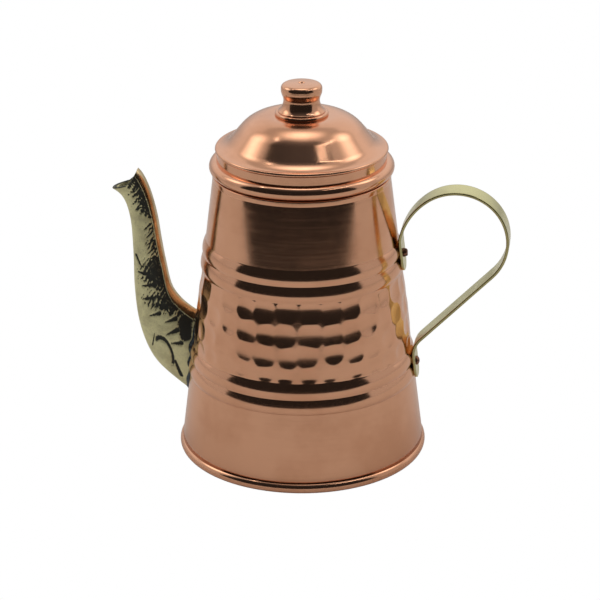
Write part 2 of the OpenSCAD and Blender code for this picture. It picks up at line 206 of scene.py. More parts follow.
class Graph:
    """Short names for making and joining shader nodes."""

    def __init__(self, name):
        self.material = bpy.data.materials.new(name)
        self.material.use_nodes = True
        self.tree = self.material.node_tree
        self.shader = self.tree.nodes["Principled BSDF"]
        coords = self.node("TexCoord")
        self.place = coords.outputs["Object"]

    def node(self, kind):
        return self.tree.nodes.new("ShaderNode" + kind)

    def put(self, socket, value):
        if isinstance(value, bpy.types.NodeSocket):
            self.tree.links.new(value, socket)
        elif value is not None:
            socket.default_value = (*value, 1) if socket.type == "RGBA" else value

    def math(self, operation, a, b, c=None):
        n = self.node("Math")
        n.operation = operation
        for socket, value in zip(n.inputs, (a, b, c)):
            self.put(socket, value)
        return n.outputs[0]

    def vector(self, operation, a, b=None, scale=None):
        n = self.node("VectorMath")
        n.operation = operation
        self.put(n.inputs[0], a)
        self.put(n.inputs[1], b)
        if scale is not None:
            n.inputs["Scale"].default_value = scale
        return n.outputs["Value" if operation == "LENGTH" else "Vector"]

    def noise(self, scale, detail, roughness=0.5, at=None):
        n = self.node("TexNoise")
        self.put(n.inputs["Vector"], at or self.place)
        n.inputs["Scale"].default_value = scale
        n.inputs["Detail"].default_value = detail
        n.inputs["Roughness"].default_value = roughness
        return n.outputs["Fac"]

    def remap(self, value, low, high, to_low=0.0, to_high=1.0):
        n = self.node("MapRange")
        n.interpolation_type = "SMOOTHSTEP"
        self.put(n.inputs["Value"], value)
        for key, number in (("From Min", low), ("From Max", high),
                            ("To Min", to_low), ("To Max", to_high)):
            n.inputs[key].default_value = number
        return n.outputs["Result"]

    def mix(self, amount, a, b):
        n = self.node("Mix")
        n.data_type = "RGBA"
        self.put(n.inputs["Factor"], amount)
        for key, colour in (("A", a), ("B", b)):
            socket = [s for s in n.inputs if s.name == key and s.type == "RGBA"][0]
            self.put(socket, colour)
        return [s for s in n.outputs if s.type == "RGBA"][0]

    def bump(self, height, strength, distance):
        n = self.node("Bump")
        n.inputs["Strength"].default_value = strength
        n.inputs["Distance"].default_value = distance
        self.put(n.inputs["Height"], height)
        if self.shader.inputs["Normal"].links:
            self.put(n.inputs["Normal"], self.shader.inputs["Normal"].links[0].from_socket)
        self.put(self.shader.inputs["Normal"], n.outputs["Normal"])

    def attribute(self, name):
        n = self.node("Attribute")
        n.attribute_name = name
        return n.outputs["Fac"]

    def finish(self, colour, roughness, metallic=1.0):
        self.put(self.shader.inputs["Base Color"], colour)
        self.put(self.shader.inputs["Roughness"], roughness)
        self.put(self.shader.inputs["Metallic"], metallic)
        return self.material

    def spun(self, scale):
        """Noise drawn out into fine rings round the Z axis, as a spinning tool leaves."""
        n = self.node("SeparateXYZ")
        self.put(n.inputs[0], self.place)
        flat = self.node("CombineXYZ")
        self.put(flat.inputs[0], n.outputs[0])
        self.put(flat.inputs[1], n.outputs[1])
        along = self.math("ADD", n.outputs[2], self.vector("LENGTH", flat.outputs[0]))
        rings = self.node("CombineXYZ")
        self.put(rings.inputs[2], self.math("MULTIPLY", along, scale))
        way = self.vector("SCALE", self.vector("NORMALIZE", flat.outputs[0]), scale=0.9)
        return self.noise(1.0, 3.0, 0.6, at=self.vector("ADD", way, rings.outputs[0]))


def copper(name, light, dark, rough, wear=0.05):
    """Spun metal with darker smudges, rougher by wear, and fine tool rings."""
    g = Graph(name)
    smudge = g.remap(g.noise(26.0, 5.0, 0.6), 0.42, 0.68)
    rings = g.spun(900.0)
    colour = g.mix(g.math("MULTIPLY", smudge, 0.55), light, dark)
    colour = g.mix(g.remap(rings, 0.55, 0.75, 0.0, 0.18), colour, dark)
    rubbed = g.math("MULTIPLY_ADD", smudge, wear, rough)
    g.bump(rings, 0.05, 0.0002)
    g.bump(g.noise(900.0, 2.0), 0.03, 0.0002)
    return g.finish(colour, g.math("MULTIPLY_ADD", g.remap(rings, 0.4, 0.7), 0.03, rubbed))


COPPER_LIGHT, COPPER_DARK = (0.84, 0.445, 0.275), (0.70, 0.335, 0.19)
polished = copper("polished_copper", COPPER_LIGHT, COPPER_DARK, 0.115)
lid_copper = copper("spun_copper", COPPER_LIGHT, COPPER_DARK, 0.15)
tin = copper("tinned_lining", (0.56, 0.55, 0.53), (0.42, 0.41, 0.39), 0.30, 0.12)


def blotched(name, colours, spots, relief, rough, metallic=1.0):
    """Metal with rougher blotches of a second colour. spots is (scale, detail, low, high),
    relief is (scale, detail, strength, depth) and rough is (range, least)."""
    g = Graph(name)
    amount = g.remap(g.noise(*spots[:2], 0.6), *spots[2:])
    g.bump(g.noise(*relief[:2]), *relief[2:])
    return g.finish(g.mix(amount, *colours), g.math("MULTIPLY_ADD", amount, *rough), metallic)


aged = blotched("aged_copper", ((0.34, 0.16, 0.10), (0.07, 0.038, 0.028)),
                (700.0, 4.0, 0.4, 0.65), (1500.0, 3.0, 0.25, 0.0003), (0.2, 0.28))
steel = blotched("steel_wire", ((0.42, 0.42, 0.43), (0.20, 0.13, 0.09)),
                 (300.0, 4.0, 0.45, 0.7), (900.0, 3.0, 0.2, 0.0003), (0.25, 0.35))
bright = blotched("bright_brass", ((0.66, 0.52, 0.30), (0.50, 0.37, 0.19)),
                  (150.0, 5.0, 0.4, 0.7), (500.0, 4.0, 0.12, 0.0003), (0.10, 0.20))
lead = blotched("dark_solder", ((0.10, 0.12, 0.14), (0.03, 0.03, 0.032)),
                (600.0, 4.0, 0.35, 0.7), (1200.0, 4.0, 0.4, 0.0004), (0.2, 0.35), 0.9)


def strap_brass():
    g = Graph("strap_brass")
    haze = g.remap(g.noise(45.0, 5.0, 0.6), 0.4, 0.7)
    grain = g.noise(1.0, 3.0, 0.6, at=g.vector("MULTIPLY", g.place, (120.0, 1500.0, 120.0)))
    # The colour turns darker brown towards the strap's side edges.
    edge_dark = g.remap(g.attribute("edge"), 0.82, 0.98)
    colour = g.mix(haze, (0.74, 0.69, 0.33), (0.60, 0.53, 0.24))
    colour = g.mix(g.math("MULTIPLY", edge_dark, 0.55), colour, (0.30, 0.25, 0.12))
    g.bump(grain, 0.02, 0.0002)
    return g.finish(colour, g.math("MULTIPLY_ADD", haze, 0.08, 0.15))


def cast_brass():
    """Antiqued casting: rubbed brass on the high parts, black patina in the hollows."""
    g = Graph("cast_brass")
    fine = g.noise(900.0, 5.0, 0.65)
    specks = g.noise(2600.0, 3.0, 0.6)
    hollow = g.math("ADD", g.attribute("patina"), g.remap(fine, 0.3, 0.75, -0.24, 0.3))
    dirt = g.remap(hollow, 0.24, 0.74)
    blush = g.remap(g.noise(140.0, 4.0, 0.6), 0.4, 0.65)
    rubbed = g.mix(blush, (0.80, 0.75, 0.43), (0.62, 0.57, 0.32))
    rubbed = g.mix(g.remap(specks, 0.54, 0.70, 0.0, 0.45), rubbed, (0.20, 0.18, 0.10))
    colour = g.mix(dirt, rubbed, (0.035, 0.036, 0.028))
    rough = g.math("MULTIPLY_ADD", dirt, 0.16, 0.40)
    g.bump(g.math("ADD", fine, g.math("MULTIPLY", specks, 0.5)), 0.5, 0.0004)
    metal = g.math("MULTIPLY_ADD", dirt, -0.15, 0.65)
    return g.finish(colour, rough, metal)


# ---- body ----

def bead_off(s, h):
    """How far a double bead stands out at s above its crease, for beads h high."""
    up = BEAD_CREST * h
    x = np.where(s < 0, s + h, s) - up
    inner = (x < 0) == (s >= 0)
    edge = np.where(inner, CREASE_OUT, 0.0)
    reach = np.where(x < 0, up, h - up)
    drop = BEAD_OUT - edge
    r = arc_r(drop, reach)
    return BEAD_OUT - (r - np.sqrt(r * r - x * x))


def wall_face(z):
    """Radius of the wall's outer face at a height, beads included."""
    face = wall_r(z)
    for crease, h in BEAD_PAIRS:
        near = np.clip(z - crease, -h, h)
        face = face + np.where(np.abs(z - crease) < h, bead_off(near, h), 0.0)
    return face


def bead_line(crease, h, steps=30):
    """Outline (r, z) of a double bead, from its lower edge up."""
    return [(float(wall_r(crease + s) + bead_off(s, h)), crease + s)
            for s in (h * i / steps for i in range(-steps, steps + 1))]


# The band between the pairs of beads: marks round it, softness of the ridges between marks,
# how far the band's middle swells, and over what height the marks fade in at its edges
BAND_LOW = BEAD_PAIRS[0][0] + BEAD_PAIRS[0][1]
BAND_HIGH = BEAD_PAIRS[1][0] - BEAD_PAIRS[1][1]
COLUMNS, RIDGE, BAND_SWELL, BAND_FADE = 30, 0.035, 0.55, 2.0
# Each row of marks: height, radius and depth
DENT_ROWS = ((61.6, 5.0, 0.50), (72.2, 5.8, 0.72), (83.4, 6.0, 0.80), (94.6, 6.0, 0.80))
# Scatter of a mark: share of a column, millimetres of height, factors of radius and depth
TURN_SCATTER, HEIGHT_SCATTER = 0.13, 1.1
RADIUS_SCATTER, DEPTH_SCATTER = (0.88, 1.1), (0.65, 1.15)
# In radii of a mark: how far up and down it counts, and the largest squared distance
MARK_REACH, MARK_FAR = 1.4, 4


def dents():
    """Centre (angle, height), radius and depth of each hammer mark in the band."""
    marks = []
    for row_z, radius, depth in DENT_ROWS:
        for column in range(COLUMNS):
            place = column + 0.5 + rng.uniform(-TURN_SCATTER, TURN_SCATTER)
            height = row_z + rng.uniform(-HEIGHT_SCATTER, HEIGHT_SCATTER)
            marks.append((place * 2 * math.pi / COLUMNS, height,
                          radius * rng.uniform(*RADIUS_SCATTER),
                          depth * rng.uniform(*DEPTH_SCATTER)))
    return marks


DENTS = dents()


def hammered(angles, r, z):
    """Outward shift of the wall: hammer marks in the band, which the hammering has swelled a
    little, and a faint wave everywhere."""
    wave = 0.03 * np.sin(3 * angles + 0.7 + z / 60) + 0.018 * np.sin(7 * angles + z / 35)
    total = np.ones_like(angles)
    for angle, height, radius, amount in DENTS:
        dz = z - height
        if abs(dz) > MARK_REACH * radius:
            continue
        across = ((angles - angle + math.pi) % (2 * math.pi) - math.pi) * r
        rho = np.minimum((across ** 2 + dz ** 2) / radius ** 2, MARK_FAR)
        total += np.exp(amount * (1 - rho) / RIDGE)
    edge = min(max((z - BAND_LOW) / BAND_FADE, 0), max((BAND_HIGH - z) / BAND_FADE, 0), 1)
    level = (2 * z - BAND_LOW - BAND_HIGH) / (BAND_HIGH - BAND_LOW)
    swell = BAND_SWELL * max(0.0, 1 - level ** 2)
    return wave + swell - RIDGE * np.log(total) * edge


def band_points(step=0.7):
    """Close outline points inside the hammered band."""
    n = round((BAND_HIGH - BAND_LOW) / step)
    return [(wall_r(z), z)
            for z in (BAND_LOW + (BAND_HIGH - BAND_LOW) * i / n for i in range(1, n))]


def plain_points(z0, z1, step=4.0, guard=0.2):
    """Outline points of a plain stretch of wall, closer at its ends."""
    n = round((z1 - z0) / step)
    heights = [z0 + guard] + [z0 + (z1 - z0) * i / n for i in range(1, n)] + [z1 - guard]
    return [(wall_r(z), z) for z in heights]


SPOUT_HOLE_R, SPOUT_HOLE_Z, CUTTER_L = 7.5, 49.6, 40.0


def cut_spout_hole(piece):
    """Cuts the round hole through the wall behind the spout."""
    mesh = bmesh.new()
    middle = Matrix.Translation((-BASE_R * MM, 0, SPOUT_HOLE_Z * MM))
    bmesh.ops.create_cone(mesh, cap_ends=True, segments=64, radius1=SPOUT_HOLE_R * MM,
                          radius2=SPOUT_HOLE_R * MM, depth=CUTTER_L * MM,
                          matrix=middle @ Matrix.Rotation(math.pi / 2, 4, "Y"))
    tool = add_object("hole_tool", bpy.data.meshes.new("hole_tool"))
    mesh.to_mesh(tool.data)
    mesh.free()
    cut = piece.modifiers.new("hole", "BOOLEAN")
    cut.object, cut.operation, cut.solver = tool, "DIFFERENCE", "EXACT"
    bpy.context.view_layer.update()
    shown = piece.evaluated_get(bpy.context.evaluated_depsgraph_get())
    done = bpy.data.meshes.new_from_object(shown)
    piece.modifiers.clear()
    piece.data = done
    bpy.data.objects.remove(tool)


# How deep the wall stands in the foot bead, and how far a face must look inwards to be tinned
WALL_SUNK, LOOKS_IN = 1.0, 0.2


def make_body_shell():
    foot_top = FOOT_Z + FOOT_BEAD_R - WALL_SUNK
    low, high = [bead_line(*pair) for pair in BEAD_PAIRS]
    hem_z = MOUTH_Z - HEM_H
    hem_r = wall_r(MOUTH_Z - HEM_H / 2) + HEM_OUT
    outer = plain_points(foot_top, low[0][1]) + low + band_points() + high
    outer += plain_points(high[-1][1], hem_z)
    hem = rounded([(hem_r, hem_z, 0.2), (hem_r, MOUTH_Z, 0.55), (BORE_R, MOUTH_Z, 0.5),
                   (BORE_R, hem_z, 0.3)], 6)
    inner = [(r - SHEET, z) for r, z in outer[::3]]
    loop = outer + [(wall_r(hem_z), hem_z - 0.05)] + hem + inner[::-1]
    piece = turned("hammered_wall", [loop], WALL_SEGMENTS, "pot", [polished, tin],
                   ["body_shell"], hammered)
    cut_spout_hole(piece)
    paint(piece, 1, lambda c, n: c.x * n.x + c.y * n.y < -LOOKS_IN * math.hypot(c.x, c.y))


# Rise of the bottom's middle above its edge, and how deep that edge runs into the foot bead
BOTTOM_RISE, BOTTOM_LAP = 1.5, 0.6


def make_base():
    ring = (FOOT_RING_R, FOOT_Z)
    edge = FOOT_RING_R - FOOT_BEAD_R + BOTTOM_LAP
    big = arc_r(BOTTOM_RISE, edge)
    low = FOOT_Z - SHEET / 2 + BOTTOM_RISE
    under = [(r, low - (big - math.sqrt(big ** 2 - r ** 2)))
             for r in (edge * i / 16 for i in range(17))]
    flat = math.degrees(math.acos(FOOT_Z / FOOT_BEAD_R))
    bead = (arc(ring, FOOT_BEAD_R, 192, 270 - flat, 14)
            + arc(ring, FOOT_BEAD_R, 270 + flat, 528, 40))
    loop = under + bead + [(r, z + SHEET) for r, z in under[::-1]]
    core = arc(ring, FOOT_WIRE_R + 0.02, 360, 15, 22)
    piece = turned("rolled_foot", [loop, core], FOOT_SEGMENTS, "pot", [polished, tin],
                   ["base_plate"])
    paint(piece, 1, lambda c, n: n.z > 0.5 and math.hypot(c.x, c.y) < edge - 0.3)


# ---- lid ----

LID_BEAD_R, LID_RING_R, LID_SHEET, NECK_R = 3.5, 43.7, 0.9, 43.3
LID_Z = MOUTH_Z + 0.35 + LID_BEAD_R
COLLAR_R, COLLAR_DEPTH = BORE_R - 0.6, 8.0
BRIM_Z, BRIM_R, BRIM_FALL, BRIM_HEM_W = LID_Z + 10.2, 44.05, 6.0, 2.8
BRIM_EDGE_R, NECK_FOOT_Z = 1.0, LID_Z + 2.6
COVE_R, FLANK_SLOPE, FLANK_L, SHOULDER_R, CROWN_R = 10.1, 50.0, 8.15, 19.5, 1200.0
PIN_R = 1.2


def heading(a):
    """Unit vector at an angle in degrees."""
    return np.array((math.cos(math.radians(a)), math.sin(math.radians(a))))


# Centres of the arcs that make up the dome's outline, and the angles where they meet
BRIM_C = np.array((BRIM_R - BRIM_EDGE_R, BRIM_Z - BRIM_EDGE_R))
BRIM_UNDER_Z = BRIM_Z - 2 * BRIM_EDGE_R
HEM_IN_R = BRIM_C[0] - BRIM_HEM_W
BRIM_UP, FLANK_UP = 90 - BRIM_FALL, 90 - FLANK_SLOPE
COVE_C = BRIM_C + (BRIM_EDGE_R + COVE_R) * heading(BRIM_UP)
SHOULDER_C = (COVE_C - (COVE_R + SHOULDER_R) * heading(FLANK_UP)
              + FLANK_L * heading(90 + FLANK_UP))
CROWN_DROP = math.sqrt((CROWN_R - SHOULDER_R) ** 2 - SHOULDER_C[0] ** 2)
CROWN_C = np.array((0, SHOULDER_C[1] - CROWN_DROP))
CROWN_EDGE = math.degrees(math.atan2(SHOULDER_C[1] - CROWN_C[1], SHOULDER_C[0]))
APEX_Z = CROWN_C[1] + CROWN_R


def crown_z(r, drop=0.0):
    """Height of the lid's flat crown at a radius, for a skin drop below its outer face."""
    return CROWN_C[1] + math.sqrt((CROWN_R - drop) ** 2 - r * r)


def dome_line(drop):
    """Outline (r, z) of the dome from brim to pin, for a skin drop below its outer face."""
    last = math.degrees(math.acos(PIN_R / (CROWN_R - drop)))
    return (arc(COVE_C, COVE_R + drop, 180 + BRIM_UP, 180 + FLANK_UP, 18)
            + arc(SHOULDER_C, SHOULDER_R - drop, FLANK_UP, CROWN_EDGE, 36)
            + arc(CROWN_C, CROWN_R - drop, CROWN_EDGE, last, 8))


def beaten(angles, r, z):
    """The small waves that planishing leaves round the lid."""
    waves = 0.020 * np.sin(3 * angles + z / 7) + 0.010 * np.sin(11 * angles + 1.3 + z / 3)
    return waves * min(r / 20, 1)


def make_dome():
    under = [p for p in dome_line(LID_SHEET)[::-1] if p[0] < HEM_IN_R]
    rim = arc(BRIM_C, BRIM_EDGE_R, -90, BRIM_UP, 12)
    loop = under + [(HEM_IN_R, BRIM_UNDER_Z)] + rim + dome_line(0)
    piece = turned("domed_lid", [soften(loop)], LID_SEGMENTS, "lid", [lid_copper, tin],
                   ["lid_dome"], beaten)
    paint(piece, 1, lambda c, n: n.z < -0.2 and math.hypot(c.x, c.y) < HEM_IN_R)


def make_band():
    ring = (LID_RING_R, LID_Z)
    outside = arc(ring, LID_BEAD_R, 0, 360 - 360 / 56, 55)
    hollow = arc(ring, LID_BEAD_R - LID_SHEET, 360, 360 / 28, 27)
    neck_in = NECK_R - LID_SHEET
    neck = [(NECK_R, NECK_FOOT_Z), (NECK_R, BRIM_UNDER_Z), (neck_in, BRIM_UNDER_Z),
            (neck_in, NECK_FOOT_Z)]
    turned("rolled_band", [outside, hollow, soften(neck, 1.2)], LID_SEGMENTS, "lid", [polished],
           ["lid_band"], beaten)


def make_collar():
    inside = COLLAR_R - LID_SHEET
    low = MOUTH_Z - COLLAR_DEPTH

    def bead_under(r):
        return LID_Z - math.sqrt(LID_BEAD_R ** 2 - (LID_RING_R - r) ** 2)

    loop = rounded([(COLLAR_R, low, 0.3), (COLLAR_R, bead_under(COLLAR_R), 0),
                    (inside, bead_under(inside), 0), (inside, low, 0.3)], 4)
    turned("locating_collar", [soften(loop)], LID_SEGMENTS, "lid", [polished], ["lid_collar"])


# ---- knob ----

TOTAL_H, HEAD_R, WAIST_R, FLARE_R, KNOB_FOOT_R = 198.3, 10.45, 9.2, 7.1, 12.0
WASHER_R, WASHER_H, WASHER_EDGE, WASHER_LIP = 13.6, 1.65, 0.9, 0.3
HEAD_EDGE, HEAD_CROWN, DIMPLE_R, DIMPLE_D = 2.3, 0.4, 1.9, 0.6
FOOT_LIP, KNOB_FOOT_EDGE = 0.35, 0.1
WASHER_TOP, HEAD_Z = APEX_Z + WASHER_H, TOTAL_H - 3.8


def make_knob_base():
    inner, bear = WASHER_R - WASHER_EDGE, WASHER_R - WASHER_LIP
    under = [(r, crown_z(r) + 0.02) for r in np.linspace(PIN_R, inner, 6)]
    loop = (under + arc((bear, crown_z(bear) + WASHER_LIP), WASHER_LIP, -90, 0, 5)
            + arc((inner, WASHER_TOP - WASHER_EDGE), WASHER_EDGE, 0, 90, 10)
            + [(PIN_R, WASHER_TOP)])
    turned("knob_seat", [soften(loop)], KNOB_SEGMENTS, "lid", [polished], ["knob_base"], beaten)


def make_knob():
    flare = math.degrees(math.acos((WAIST_R + FLARE_R - KNOB_FOOT_R) / FLARE_R))
    waist_z = WASHER_TOP + FOOT_LIP + FLARE_R * math.sin(math.radians(flare))
    side = [(WAIST_R + (HEAD_R - WAIST_R) * step_up(t), waist_z + (HEAD_Z - waist_z) * t)
            for t in np.arange(1, 17) / 16]
    top_r = HEAD_R - HEAD_EDGE
    crown = arc_r(HEAD_CROWN, top_r)
    crest = [(r, TOTAL_H - (crown - math.sqrt(crown ** 2 - r * r)))
             for r in np.linspace(top_r, DIMPLE_R, 10)[1:]]
    bowl = [(PIN_R + (DIMPLE_R - PIN_R) * t, TOTAL_H - DIMPLE_D * (1 - step_up(t)))
            for t in (0.8, 0.6, 0.4, 0.2, 0.0)]
    foot = (KNOB_FOOT_R - KNOB_FOOT_EDGE, WASHER_TOP + KNOB_FOOT_EDGE)
    loop = ([(PIN_R, WASHER_TOP)] + arc(foot, KNOB_FOOT_EDGE, -90, 0, 3)
            + arc((WAIST_R + FLARE_R, waist_z), FLARE_R, 180 + flare, 180, 20) + side
            + arc((top_r, TOTAL_H - HEAD_CROWN - HEAD_EDGE), HEAD_EDGE, 0, 90, 16) + crest + bowl)
    turned("knob", [soften(loop)], KNOB_SEGMENTS, "lid", [polished], ["knob"], beaten)


# The washer inside the lid, the pin's head under it and its end in the knob's dimple
INNER_WASHER_R, INNER_WASHER_T = 5.0, 1.0
PIN_HEAD_R, PIN_HEAD_H, PIN_END_R, PIN_SHORT = 2.4, 1.0, 0.8, 0.02


def make_pin():
    head_top = crown_z(INNER_WASHER_R, LID_SHEET) - INNER_WASHER_T
    low, step, top = head_top - PIN_HEAD_H, TOTAL_H - DIMPLE_D, TOTAL_H - PIN_SHORT
    side = rounded([(PIN_HEAD_R, low, 0.4), (PIN_HEAD_R, head_top, 0.1), (PIN_R, head_top, 0),
                    (PIN_R, step, 0.05), (PIN_END_R, step, 0), (PIN_END_R, top, 0.25)], 4)
    turned("knob_pin", [[(0.0, low)] + side + [(0.0, top)]], PIN_SEGMENTS, "lid", [polished],
           ["knob_pin"])


# ---- spout ----

# Points (distance from the axis, height) of the back and front edges, half widths between
# them, and the line of the beak's rim
SPOUT_BACK = np.array(((50, 69), (57.5, 72.3), (64.4, 77.6), (69.3, 85), (71.9, 97.5), (74, 110),
                       (75.9, 123.5), (79, 136.5), (83.2, 146), (88.5, 151.5)))
SPOUT_FRONT = np.array(((55, 22), (66.5, 30.8), (77.2, 41), (83.2, 51.8), (87.2, 66), (88.8, 84),
                        (88.9, 103), (90, 122), (94.2, 134), (104, 140.5)))
SPOUT_HALF_WIDTHS = np.array(((9.5,), (9.5,), (7.0,), (7.0,), (5.6,), (5.6,)))
BEAK = np.array(((84, 160), (85.6, 148), (88, 143.2), (91, 140.6), (99.4, 138), (112, 135)))
SPOUT_T, SPOUT_COLUMNS, SPOUT_ROWS, BORE_ROWS = 1.8, 168, 300, 70
# Shape of the cross section: its power, how much higher that is at the root, and up to where
SPOUT_POWER, ROOT_POWER, ROOT_END = 0.8, 0.35, 0.35
# Steps in the search for a skin's ends, where the beak can start, how low the skins end there
END_STEPS, BEAK_FROM, BEAK_DROP = 900, 0.6, 0.6
# Inset and drop of each ring over the beak's rounded rim
BEAK_RIM = ((0.12, 0.25), (0.45, 0.04), (0.9, 0.0), (1.35, 0.04), (1.68, 0.25))


def curve(points, t):
    """Points of a smooth curve through points, for t from 0 to 1."""
    n = len(points) - 1
    i = np.clip(np.floor(t * n).astype(int), 0, n - 1)
    u = (t * n - i)[..., None]
    a, b, c, d = (points[np.clip(i + k, 0, n)] for k in (-1, 0, 1, 2))
    return 0.5 * (2 * b + (c - a) * u + (2 * a - 5 * b + 4 * c - d) * u ** 2
                  + (3 * b - a - 3 * c + d) * u ** 3)


def bulge(v, power):
    return np.sign(v) * np.abs(v) ** power


def spout_point(t, angle, inset):
    """A point of the spout's skin, moved in by inset, and how wide its side is there."""
    back, front = curve(SPOUT_BACK, t), curve(SPOUT_FRONT, t)
    span = np.linalg.norm(front - back, axis=-1)
    way = (front - back) / span[..., None]
    half_w = curve(SPOUT_HALF_WIDTHS, t)[..., 0] - inset
    power = SPOUT_POWER + ROOT_POWER * np.maximum(0, 1 - t / ROOT_END)
    p = (back + front) / 2 - way * ((span / 2 - inset) * bulge(np.cos(angle), power))[..., None]
    return np.stack((-p[..., 0], half_w * bulge(np.sin(angle), power), p[..., 1]), -1), span


def beak_z(x):
    """Height of the beak's rim at a place along X."""
    return np.interp(-x, BEAK[:, 0], BEAK[:, 1])


def crossing(values, t):
    """For each column, the t at which values first turns positive."""
    first = np.clip(np.argmax(values > 0, axis=0), 1, None)
    cols = np.arange(values.shape[1])
    v0, v1 = values[first - 1, cols], values[first, cols]
    return t[first - 1] + (t[first] - t[first - 1]) * (-v0 / (v1 - v0))


def spout_ends(angles, inset, drop, wall_gap=-0.3):
    """Where each column of the skin leaves the wall, and where it meets the beak's edge."""
    t = np.linspace(0, 1, END_STEPS)[:, None] * np.ones(len(angles))
    p, _ = spout_point(t, angles * np.ones_like(t), inset)
    out = np.hypot(p[..., 0], p[..., 1]) - wall_face(p[..., 2]) - wall_gap
    above = np.where(t > BEAK_FROM, p[..., 2] - beak_z(p[..., 0]) + drop, -1.0)
    return crossing(out, t[:, 0]), crossing(above, t[:, 0])


def spout_rows(angles, inset, drop, rows):
    """Points of the skin, and how wide its side is there, at shares of the way up it."""
    start, end = spout_ends(angles, inset, drop)
    t = start + (end - start) * rows[:, None]
    return spout_point(t, angles * np.ones_like(t), inset)


# Height, and how far the sunk ground reaches there from the back edge over the side
GROUND = np.array(((20, -0.2), (66, -0.2), (72, 0.12), (74, 0.36), (76, 0.58), (78, 0.40),
                   (80, 0.55), (83, 0.20), (87, 0.44), (90, 0.60), (93, 0.50), (97, 0.62),
                   (100, 0.34), (103, 0.10), (110, 0.16), (114, 0.06), (118, 0.14), (122, -0.15),
                   (125, 0.22), (129, 0.44), (134, 0.40), (140, 0.36), (144, 0.42), (150, 0.2)))
# Separate sunk strokes on the side: two ends (x, z), and the half width at each
STROKES = ((-83.6, 97.0, -86.6, 103.0, 0.35, 0.8), (-78.5, 120.5, -81.0, 117.6, 0.6, 0.2),
           (-77.0, 111.5, -80.6, 109.0, 0.6, 0.2), (-76.5, 107.5, -80.0, 104.4, 0.6, 0.2),
           (-76.6, 102.9, -79.4, 100.6, 0.6, 0.2), (-77.8, 115.8, -80.6, 113.0, 0.6, 0.2),
           (-61.0, 67.0, -60.5, 60.0, 4.2, 3.4), (-65.0, 63.0, -71.0, 60.0, 1.6, 0.3),
           (-66.0, 69.0, -71.5, 67.0, 1.4, 0.3), (-63.0, 56.0, -68.5, 55.5, 1.5, 0.3),
           (-66.5, 45.0, -64.0, 36.0, 0.8, 1.3), (-78.0, 79.6, -83.6, 78.6, 1.5, 0.3),
           (-77.0, 87.0, -83.5, 86.0, 1.6, 0.3), (-80.0, 92.5, -85.6, 94.0, 1.6, 0.4),
           (-74.5, 71.5, -80.0, 69.5, 1.3, 0.3), (-77.5, 60.0, -79.0, 53.0, 0.2, 0.5))
BOSS_X, BOSS_Z, BOSS_W, BOSS_H, BOSS_TILT = -72.8, 49.0, 4.0, 7.6, 12.0
# The smooth strip up the spout's back, its edge, and the spacing of the feather strokes
STRIP_W, STRIP_EDGE, FEATHER_STEP = 3.0, 0.3, 2.9
# Height of the boss, depths of the ground and the sides, rows over which the relief fades out
# below the rim, and how sunk the groove beside the strip is
BOSS_UP, GROUND_DEPTH, SIDE_DEPTH, FADE_ROWS, GROOVE = 0.55, 0.42, 0.12, 14, 0.55
RIM_PATINA, BORE_PATINA = 0.75, 0.45


def near_stroke(x, z, stroke):
    """1 on a stroke's middle line, down to 0 just past its edge."""
    x0, z0, x1, z1, r0, r1 = stroke
    dx, dz = x1 - x0, z1 - z0
    t = np.clip(((x - x0) * dx + (z - z0) * dz) / (dx * dx + dz * dz), 0, 1)
    away = np.hypot(x - x0 - dx * t, z - z0 - dz * t)
    return np.clip(1.2 - away / (r0 + (r1 - r0) * t), 0, 1)


def boss_ring(x, z):
    """Distance from the boss's middle in its own radii, and the groove over its wall side."""
    c, s = math.cos(math.radians(BOSS_TILT)), math.sin(math.radians(BOSS_TILT))
    across = ((x - BOSS_X) * c + (z - BOSS_Z) * s) / BOSS_W
    up = ((z - BOSS_Z) * c - (x - BOSS_X) * s) / BOSS_H
    away = np.hypot(across, up)
    ring = step_up(1.4 - np.abs(away - 1.22) / 0.2)
    return away, ring * step_up(0.45 + across * 0.8 + up * 0.6)


def relief(points, q, span):
    """How deep the casting is sunk (0 to 1) and how far its boss stands up (0 to 1)."""
    x, z = points[..., 0], points[..., 2]
    from_back = q * span
    side = np.clip((from_back - STRIP_W) / (span - STRIP_W), 0, 1)
    slant = (z + 0.8 * from_back + 0.9 * np.sin(z * 0.37)) / FEATHER_STEP
    feather = np.abs(slant % 1 - 0.5) * 2
    rough = np.sin(z * 2.3 + 3 * np.sin(x)) * np.sin(x * 1.9 + 2 * np.sin(z * 0.8))
    reach = np.interp(z, GROUND[:, 0], GROUND[:, 1]) + 0.34 * (feather - 0.5) + 0.20 * rough
    sunk = step_up((reach - side) / 0.22 + 0.5) * (0.86 + 0.14 * rough)
    for stroke in STROKES:
        sunk = np.maximum(sunk, step_up(near_stroke(x, z, stroke) * 1.6))
    away, groove = boss_ring(x, z)
    sunk = np.maximum(sunk * step_up((away - 1.05) / 0.1), groove)
    beside = step_up(1.4 - np.abs(from_back - STRIP_W) / 0.35)
    sunk = np.where(from_back < STRIP_W - STRIP_EDGE, 0, sunk)
    return np.maximum(sunk, GROOVE * beside), np.clip(1 - away ** 2, 0, 1)


def outward(grid):
    """Unit normals of a closed grid of points, rows up and columns round."""
    up = np.gradient(grid, axis=0)
    across = np.roll(grid, -1, axis=1) - np.roll(grid, 1, axis=1)
    normal = unit(np.cross(up, across))
    middle = grid.mean(axis=1, keepdims=True)
    return normal * np.sign(((grid - middle) * normal).sum(-1).mean())


def grid_faces(rows, columns, closed=True):
    """Faces over rings of points. closed joins the last ring to the first."""
    faces = []
    for i in range(rows if closed else rows - 1):
        a, b = i * columns, ((i + 1) % rows) * columns
        faces += [(a + j, a + (j + 1) % columns, b + (j + 1) % columns, b + j)
                  for j in range(columns)]
    return faces


